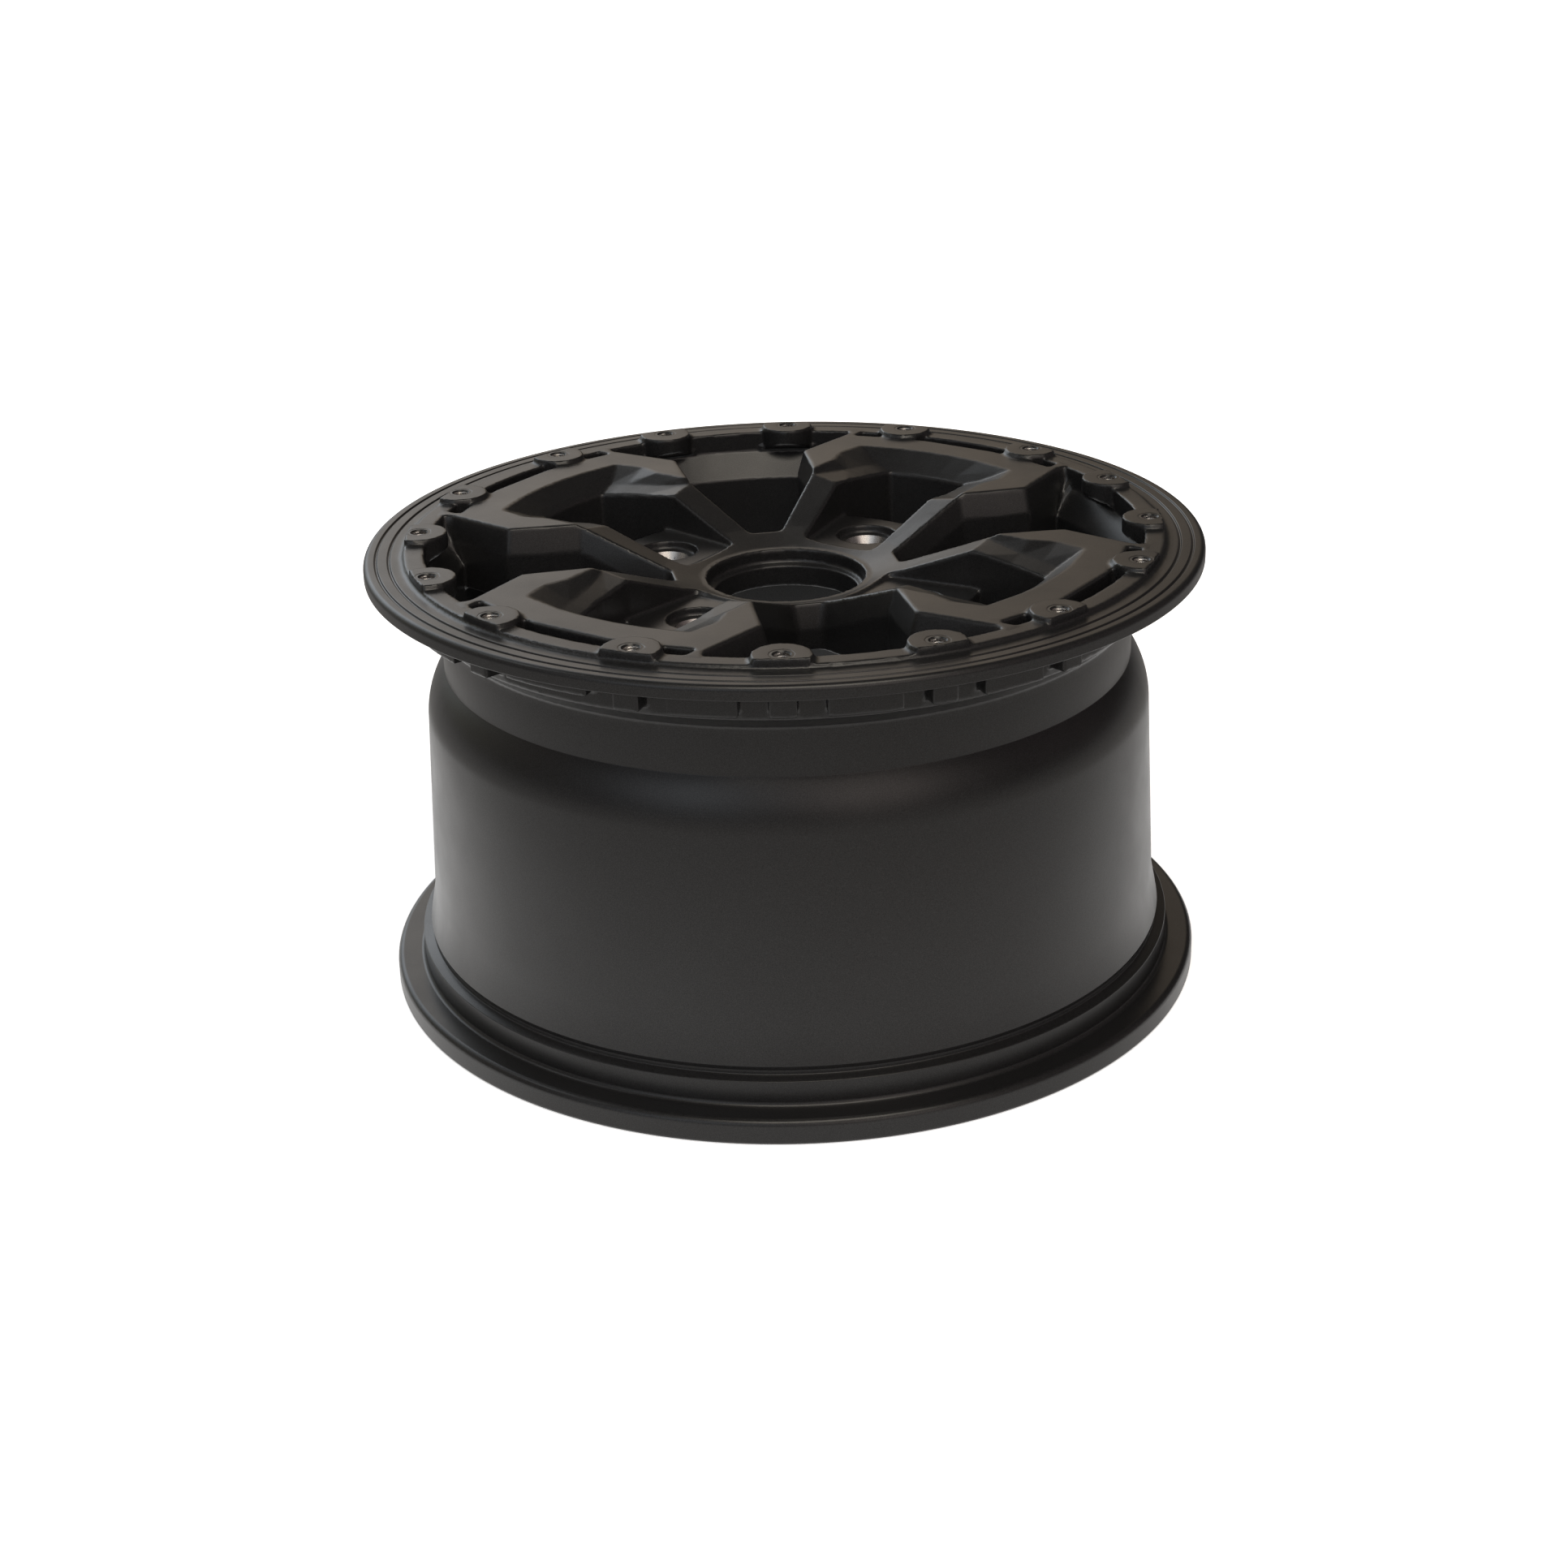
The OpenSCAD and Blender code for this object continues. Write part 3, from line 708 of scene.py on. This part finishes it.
def open_tube(tree, top, bottom, depth, lift, sides=48):
    """An open tube or cone whose faces look at its axis, from a lift above the origin down."""
    tube = tree.node("GeometryNodeMeshCone", {
        "Vertices": sides, "Radius Top": top, "Radius Bottom": bottom, "Depth": depth,
    }, fill_type="NONE").outputs["Mesh"]
    flipped = tree.node("GeometryNodeFlipFaces", {"Mesh": tube}).outputs["Mesh"]
    drop = tree.math("SUBTRACT", lift, depth)
    place = tree.node("ShaderNodeCombineXYZ", {"Z": drop}).outputs[0]
    return tree.node(
        "GeometryNodeTransform", {"Geometry": flipped, "Translation": place}).outputs[0]


def finish_group(tree, given, bare, coated):
    """Gives the parts their materials, puts them on every point and makes them real."""
    join = tree.node("GeometryNodeJoinGeometry")
    for label, parts in (("Metal", bare), ("Coat", coated)):
        for part in parts:
            painted = tree.node(
                "GeometryNodeSetMaterial", {"Geometry": part, "Material": given[label]})
            tree.tree.links.new(painted.outputs[0], join.inputs[0])
    placed = tree.node("GeometryNodeInstanceOnPoints", {
        "Points": given["Geometry"], "Instance": join.outputs[0]}).outputs[0]
    real = tree.node("GeometryNodeRealizeInstances", {"Geometry": placed}).outputs[0]
    smooth = tree.node("GeometryNodeSetShadeSmooth", {"Geometry": real}).outputs[0]
    tree.node("NodeGroupOutput", {"Geometry": smooth})


def thread_group():
    """Countersink, bore and helical ridge of one tapped hole, placed on every point."""
    tree, given = geometry_group("tapped_holes", ["Radius", "Mouth", "Depth", "Pitch"])
    radius, mouth, depth, pitch = (given[k] for k in ("Radius", "Mouth", "Depth", "Pitch"))
    skirt_width, skirt_fall, sides_per_turn, ridge_share = 1.6 * MM, 0.1 * MM, 28, 0.42
    sink = tree.math("SUBTRACT", mouth, radius)
    lip = tree.math("ADD", mouth, skirt_width)
    negative_sink = tree.math("MULTIPLY", sink, -1.0)
    skirt = open_tube(tree, mouth, lip, skirt_fall, 0.0)
    skirt = tree.node("GeometryNodeFlipFaces", {"Mesh": skirt}).outputs[0]
    cone = open_tube(tree, mouth, radius, sink, 0.0)
    bore = open_tube(tree, radius, radius, tree.math("SUBTRACT", depth, sink), negative_sink)
    length = tree.math("SUBTRACT", depth, tree.math("MULTIPLY", sink, 1.6))
    turns = tree.math("DIVIDE", length, pitch)
    helix = tree.node("GeometryNodeCurveSpiral", {
        "Resolution": sides_per_turn, "Rotations": turns, "Start Radius": radius,
        "End Radius": radius, "Height": length, "Reverse": False}).outputs[0]
    negative_depth = tree.math("MULTIPLY", depth, -1.0)
    bottom = tree.node("ShaderNodeCombineXYZ", {"Z": negative_depth}).outputs[0]
    helix = tree.node(
        "GeometryNodeTransform", {"Geometry": helix, "Translation": bottom}).outputs[0]
    ridge = tree.node("GeometryNodeCurvePrimitiveCircle", {
        "Resolution": 3, "Radius": tree.math("MULTIPLY", pitch, ridge_share)}).outputs[0]
    thread = tree.node("GeometryNodeCurveToMesh", {
        "Curve": helix, "Profile Curve": ridge, "Fill Caps": True}).outputs[0]
    finish_group(tree, given, [bore, thread], [skirt, cone])
    return tree.tree


def lug_seat_group():
    """Conical seat and bore of one lug hole, placed on every point."""
    tree, given = geometry_group("lug_seats", ["Mouth", "Hole", "Seat Depth", "Bore Depth"])
    mouth, hole, seat, bore = (given[k] for k in ("Mouth", "Hole", "Seat Depth", "Bore Depth"))
    skirt_width, skirt_fall, proud = 0.6 * MM, 0.25 * MM, 0.15 * MM
    lip = tree.math("ADD", mouth, skirt_width)
    skirt = open_tube(tree, mouth, lip, skirt_fall, proud)
    skirt = tree.node("GeometryNodeFlipFaces", {"Mesh": skirt}).outputs[0]
    cone = open_tube(tree, mouth, hole, seat, proud)
    negative_seat = tree.math("SUBTRACT", proud, seat)
    tube = open_tube(tree, hole, hole, bore, negative_seat)
    finish_group(tree, given, [skirt, cone, tube], [])
    return tree.tree


def placed_metal(name, points, group, values):
    """Runs a geometry tree on these points and keeps the result as a plain mesh."""
    mesh = bpy.data.meshes.new(name)
    mesh.from_pydata([tuple(p) for p in points], [], [])
    thing = new_object(name, mesh)
    nodes = thing.modifiers.new("placing", "NODES")
    nodes.node_group = group
    for item in group.interface.items_tree:
        if item.in_out == "INPUT" and item.name in values:
            nodes[item.identifier] = values[item.name]
    return new_object(name, with_modifiers_applied(thing, name))


def round_the_axis(radius, z, angles):
    """Points at these azimuths, on a circle round the Z axis."""
    return [Vector((math.cos(a) * radius, math.sin(a) * radius, z)) for a in angles]


class RIM_OT_bare_metal(bpy.types.Operator):
    """Adds the countersunk threads of the clamp screws and the conical lug seats"""

    bl_idname = "rim.bare_metal"
    bl_label = "Build Threads and Seats"

    def execute(self, context):
        scene = context.scene
        sizes = scene.bare_metal_sizes
        colours = scene.finish_colours
        finishes = {"Metal": cut_metal(colours), "Coat": powder_coat(colours)}
        quarter = math.pi / 2
        sunk, inset, short = 0.05 * MM, 0.1 * MM, 0.2 * MM
        holes = thread_group()
        pieces = []
        for name, middle, aside, depth in (
                ("notch_threads", 0, sizes.notch_angle, sizes.notch_hole_depth),
                ("spoke_threads", quarter / 2, sizes.spoke_angle, sizes.hole_depth)):
            screws = round_the_axis(sizes.screw_circle, BOSS_TOP - sunk, [
                quarter * k + middle + side * aside for k in range(4) for side in (-1, 1)])
            pieces.append(placed_metal(name, screws, holes, {
                "Radius": sizes.tapping_radius - inset, "Mouth": sizes.mouth_radius,
                "Depth": depth - short, "Pitch": sizes.thread_pitch, **finishes}))
        lugs = round_the_axis(sizes.lug_circle, BOSS_TOP - sizes.lug_seat_drop, [
            quarter * (k + 0.5) for k in range(4)])
        seat_depth = (sizes.lug_mouth - sizes.lug_hole) / math.tan(sizes.lug_seat_angle)
        pieces.append(placed_metal("lug_seats", lugs, lug_seat_group(), {
            "Mouth": sizes.lug_mouth, "Hole": sizes.lug_hole - inset,
            "Seat Depth": seat_depth, "Bore Depth": sizes.lug_bore_depth, **finishes}))
        for piece in pieces:
            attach(piece, BODY)
        return {"FINISHED"}


# Materials

# Shades of the speckle as shares of the coat's colour, its bump, and both finishes' roughness
SPECKLE_SHADES = (0.6, 2.2)
PEEL_STRENGTH, PEEL_DEPTH = 0.25, 0.05 * MM
COAT_ROUGHNESS = (0.28, 0.36)
METAL_ROUGHNESS = (0.22, 0.4)
METAL_SHADE = 0.85
COAT_IOR = 1.5


def shader_group(name, inputs, outputs):
    """An empty shader group with these named float inputs and typed outputs."""
    group = bpy.data.node_groups.new(name, "ShaderNodeTree")
    for label, default in inputs.items():
        socket = group.interface.new_socket(
            label, in_out="INPUT", socket_type="NodeSocketFloat")
        socket.default_value = default
    for label, kind in outputs.items():
        group.interface.new_socket(label, in_out="OUTPUT", socket_type=kind)
    tree = Tree(group)
    return tree, tree.node("NodeGroupInput").outputs


def coat_texture():
    """Orange peel and fine speckle of a baked powder coat. Returns masks from 0 to 1."""
    name = "coat_texture"
    if name in bpy.data.node_groups:
        return bpy.data.node_groups[name]
    tree, given = shader_group(
        name, {"Peel Scale": 700.0, "Speckle Scale": 2600.0, "Cloud Scale": 24.0},
        {"Height": "NodeSocketFloat", "Speckle": "NodeSocketFloat", "Clouds": "NodeSocketFloat"})
    where = tree.node("ShaderNodeTexCoord").outputs["Object"]
    peel = tree.node("ShaderNodeTexNoise", {
        "Vector": where, "Scale": given["Peel Scale"], "Detail": 2.0, "Roughness": 0.5}).outputs[0]
    speckle = tree.node("ShaderNodeTexNoise", {
        "Vector": where, "Scale": given["Speckle Scale"],
        "Detail": 1.0, "Roughness": 0.6}).outputs[0]
    clouds = tree.node("ShaderNodeTexNoise", {
        "Vector": where, "Scale": given["Cloud Scale"], "Detail": 4.0, "Roughness": 0.6}).outputs[0]
    height = tree.math("ADD", peel, tree.math("MULTIPLY", speckle, 0.35))
    tree.node("NodeGroupOutput", {"Height": height, "Speckle": speckle, "Clouds": clouds})
    return tree.tree


def new_material(name):
    """A material with nodes, its tree and its Principled shader."""
    material = bpy.data.materials.new(name)
    material.use_nodes = True
    tree = Tree(material.node_tree)
    shader = material.node_tree.nodes["Principled BSDF"]
    return material, tree, shader


def mixed(tree, factor, low, high):
    """A colour between two colours, by a mask."""
    mix = tree.node("ShaderNodeMix", data_type="RGBA")
    tree.tree.links.new(factor, mix.inputs[0])
    mix.inputs[6].default_value = (*low, 1)
    mix.inputs[7].default_value = (*high, 1)
    return mix.outputs[2]


def ranged(tree, value, low, high, to_low, to_high):
    """A value moved from one range to another."""
    return tree.node("ShaderNodeMapRange", {
        "Value": value, "From Min": low, "From Max": high,
        "To Min": to_low, "To Max": to_high}).outputs[0]


def powder_coat(colours):
    """Satin black powder coat over aluminium."""
    name = "satin_black_coat"
    if name in bpy.data.materials:
        return bpy.data.materials[name]
    material, tree, shader = new_material(name)
    texture = tree.node("ShaderNodeGroup", node_tree=coat_texture())
    base = Vector(colours.coat)
    speck = ranged(tree, texture.outputs["Speckle"], 0.35, 0.7, 0.0, 1.0)
    darker, lighter = SPECKLE_SHADES
    colour = mixed(tree, speck, base * darker, base * lighter)
    rough = ranged(tree, texture.outputs["Clouds"], 0.3, 0.7, *COAT_ROUGHNESS)
    bump = tree.node("ShaderNodeBump", {
        "Height": texture.outputs["Height"], "Strength": PEEL_STRENGTH, "Distance": PEEL_DEPTH})
    tree.tree.links.new(colour, shader.inputs["Base Color"])
    tree.tree.links.new(rough, shader.inputs["Roughness"])
    tree.tree.links.new(bump.outputs[0], shader.inputs["Normal"])
    shader.inputs["IOR"].default_value = COAT_IOR
    return material


def cut_metal(colours):
    """Bare aluminium left by the tap and the seat cutter."""
    material, tree, shader = new_material("cut_aluminium")
    texture = tree.node("ShaderNodeGroup", node_tree=coat_texture())
    base = Vector(colours.metal)
    colour = mixed(tree, texture.outputs["Clouds"], base * METAL_SHADE, base)
    tree.tree.links.new(colour, shader.inputs["Base Color"])
    rough = ranged(tree, texture.outputs["Speckle"], 0.3, 0.7, *METAL_ROUGHNESS)
    tree.tree.links.new(rough, shader.inputs["Roughness"])
    shader.inputs["Metallic"].default_value = 1.0
    return material


# Stage

# Soft bright areas of the studio room: direction in degrees, sharpness and colour
ROOM = (
    ((108, 25), 25.0, (2.00, 2.20, 2.45)),
    ((85, 25), 25.0, (0.72, 0.57, 0.42)),
    ((125, 15), 6.0, (0.25, 0.24, 0.18)),
    ((228, 28), 14.0, (0.91, 0.96, 1.03)),
    ((285, 28), 14.0, (1.27, 1.10, 1.02)),
    ((170, 25), 8.0, (0.12, 0.10, 0.09)),
    ((-10, 25), 8.0, (0.11, 0.08, 0.08)),
)
ROOM_LEAST = 0.03
LAMP_AIM_HEIGHT = 120 * MM

# Floor: its size, and the distances from the axis over which the painted pool of light, a glow that
# only reflections see, fades round the rim, and over which the directly seen ground turns white,
# all in metres
FLOOR_REACH = 6.0
POOL_EDGE = (0.34, 0.5)
# Strength of the painted glow in front of and behind the rim
POOL_FRONT, POOL_BEHIND = 0.42, 0.95
WHITE_EDGE = (0.4, 0.9)
WHITE_BOOST = 2.4

# Camera: the photograph's side, focal length and centre in its pixels, its tilt in degrees
# and its place in millimetres before it is turned round the Z axis
PICTURE_SIDE = 1932
FOCAL_LENGTH = 3169.4
PICTURE_CENTRE = (1030.77, 808.33)
CAMERA_PITCH, CAMERA_ROLL, CAMERA_TURN = 20.867, -1.167, -11.25
CAMERA_PLACE = (22.53, -1124.00, 574.70)
SENSOR_WIDTH = 36


class RIM_OT_stage(bpy.types.Operator):
    """Adds the floor, the lights, the backdrop and the camera"""

    bl_idname = "rim.stage"
    bl_label = "Build Stage"

    def execute(self, context):
        scene = context.scene
        place_camera(scene)
        colours = scene.finish_colours
        floor_mesh = bpy.data.meshes.new("floor")
        a, b = -FLOOR_REACH, FLOOR_REACH
        floor_mesh.from_pydata([(a, a, 0), (b, a, 0), (b, b, 0), (a, b, 0)], [], [(0, 1, 2, 3)])
        floor = new_object("floor", floor_mesh)
        floor_mesh.materials.append(pale_floor(colours))
        light_world(scene)
        soft_light("front_softbox", (270, 62), 1.3, 0.7, 12.0, (1.0, 0.92, 0.80))
        soft_light("left_softbox", (165, 50), 0.7, 0.5, 1.4, (0.92, 0.96, 1.0))
        scene.view_settings.view_transform = "Standard"
        return {"FINISHED"}


def towards(azimuth, elevation):
    """The unit vector in a direction given in degrees."""
    a, e = math.radians(azimuth), math.radians(elevation)
    return Vector((math.cos(e) * math.cos(a), math.cos(e) * math.sin(a), math.sin(e)))


def soft_light(name, direction, width, height, power, colour, distance=2.0):
    """A rectangular lamp that looks at the rim from a direction in degrees."""
    lamp = bpy.data.lights.new(name, "AREA")
    lamp.shape = "RECTANGLE"
    lamp.size, lamp.size_y = width, height
    lamp.energy = power
    lamp.color = colour
    thing = bpy.data.objects.new(name, lamp)
    aim = towards(*direction)
    thing.location = aim * distance + Vector((0, 0, LAMP_AIM_HEIGHT))
    thing.rotation_euler = (-aim).to_track_quat("-Z", "Y").to_euler()
    bpy.context.scene.collection.objects.link(thing)


def seen_directly(tree):
    """One where the camera looks at the surface, also through glass, and the path's outputs."""
    path = tree.node("ShaderNodeLightPath").outputs
    return tree.math("MAXIMUM", path["Is Camera Ray"], path["Is Transmission Ray"]), path


def pale_floor(colours):
    """A floor that looks white and keeps the shadow. It glows with a painted pool of light round
    the rim that only reflections see.
    """
    material, tree, shader = new_material("pale_floor")
    direct, path = seen_directly(tree)
    place = tree.node("ShaderNodeTexCoord").outputs["Object"]
    reach = tree.node("ShaderNodeVectorMath", {0: place}, operation="LENGTH").outputs["Value"]
    outward = tree.node("ShaderNodeVectorMath", {0: place}, operation="NORMALIZE").outputs[0]
    behind = tree.node(
        "ShaderNodeVectorMath", {0: outward, 1: towards(100, 0)},
        operation="DOT_PRODUCT").outputs[1]
    # Painted pool of light: the floor emits it near the rim for reflections only, stronger behind
    # the rim than in front
    painted_light_pool = ranged(tree, reach, *POOL_EDGE, 1.0, 0.0)
    painted_light_pool = tree.math(
        "MULTIPLY", painted_light_pool, ranged(tree, behind, -1.0, 1.0, POOL_FRONT, POOL_BEHIND))
    white = ranged(tree, reach, *WHITE_EDGE, 0.5, 1.0)
    glow = tree.math("MULTIPLY", painted_light_pool, path["Is Glossy Ray"])
    glow = tree.math("ADD", glow, tree.math("MULTIPLY", white, direct))
    floor = Vector(colours.floor)
    shown = mixed(tree, direct, floor, floor * WHITE_BOOST)
    tree.tree.links.new(shown, shader.inputs["Base Color"])
    shader.inputs["Roughness"].default_value = 0.9
    shader.inputs["Specular IOR Level"].default_value = 0.0
    shader.inputs["Emission Color"].default_value = (1, 1, 1, 1)
    tree.tree.links.new(glow, shader.inputs["Emission Strength"])
    return material


def light_world(scene):
    """White seen by the camera, and a soft studio room for light and reflections."""
    world = bpy.data.worlds.new("studio")
    world.use_nodes = True
    tree = Tree(world.node_tree)
    direction = tree.node("ShaderNodeTexCoord").outputs["Generated"]
    room = tree.node(
        "ShaderNodeCombineXYZ", {axis: ROOM_LEAST for axis in "XYZ"}).outputs[0]
    for place, sharpness, colour in ROOM:
        facing = tree.node(
            "ShaderNodeVectorMath", {0: direction, 1: towards(*place)},
            operation="DOT_PRODUCT").outputs[1]
        lobe = tree.math("POWER", tree.math("MAXIMUM", facing, 0.0), sharpness)
        lit = tree.node(
            "ShaderNodeVectorMath", {0: colour, "Scale": lobe}, operation="SCALE").outputs[0]
        room = tree.node("ShaderNodeVectorMath", {0: room, 1: lit}, operation="ADD").outputs[0]
    direct, _ = seen_directly(tree)
    shown = tree.node("ShaderNodeMix", data_type="RGBA")
    tree.tree.links.new(direct, shown.inputs[0])
    tree.tree.links.new(room, shown.inputs[6])
    shown.inputs[7].default_value = (1, 1, 1, 1)
    background = world.node_tree.nodes["Background"]
    tree.tree.links.new(shown.outputs[2], background.inputs["Color"])
    scene.world = world


def place_camera(scene):
    """The camera that took the photograph, from circles measured on it."""
    lens = bpy.data.cameras.new("camera")
    middle = PICTURE_SIDE / 2
    lens.sensor_width = SENSOR_WIDTH
    lens.lens = SENSOR_WIDTH * FOCAL_LENGTH / PICTURE_SIDE
    lens.shift_x = (middle - PICTURE_CENTRE[0]) / PICTURE_SIDE
    lens.shift_y = (PICTURE_CENTRE[1] - middle) / PICTURE_SIDE
    camera = bpy.data.objects.new("camera", lens)
    pitch, roll, turn = (math.radians(a) for a in (CAMERA_PITCH, CAMERA_ROLL, CAMERA_TURN))
    right = Vector((1, 0, 0))
    down = Vector((0, -math.sin(pitch), -math.cos(pitch)))
    forward = Vector((0, math.cos(pitch), -math.sin(pitch)))
    across = right * math.cos(roll) - down * math.sin(roll)
    below = right * math.sin(roll) + down * math.cos(roll)
    placed = Matrix((across, -below, -forward)).transposed().to_4x4()
    placed.translation = Vector(CAMERA_PLACE) * MM
    camera.matrix_world = Matrix.Rotation(turn, 4, "Z") @ placed
    scene.collection.objects.link(camera)
    scene.camera = camera


class RIM_PT_panel(bpy.types.Panel):
    """Lists the operators of the rim"""

    bl_label = "Cast Wheel Rim"
    bl_idname = "RIM_PT_panel"
    bl_space_type = "VIEW_3D"
    bl_region_type = "UI"
    bl_category = "Rim"

    def draw(self, context):
        for operator in OPERATORS:
            self.layout.operator(operator.bl_idname)


OPERATORS = (RIM_OT_stage, RIM_OT_casting, RIM_OT_bare_metal)
GROUPS = {
    "turned_sizes": TurnedSizes,
    "casting_sizes": CastingSizes,
    "bare_metal_sizes": BareMetalSizes,
    "finish_colours": FinishColours,
}


def register():
    for kind in (*GROUPS.values(), *OPERATORS, RIM_PT_panel):
        bpy.utils.register_class(kind)
    for name, kind in GROUPS.items():
        setattr(bpy.types.Scene, name, bpy.props.PointerProperty(type=kind))


def unregister():
    for name in GROUPS:
        delattr(bpy.types.Scene, name)
    for kind in (RIM_PT_panel, *reversed(OPERATORS), *reversed(GROUPS.values())):
        bpy.utils.unregister_class(kind)


def main():
    register()
    bpy.ops.rim.stage()
    bpy.ops.rim.casting()
    bpy.ops.rim.bare_metal()


if __name__ == "__main__":
    main()
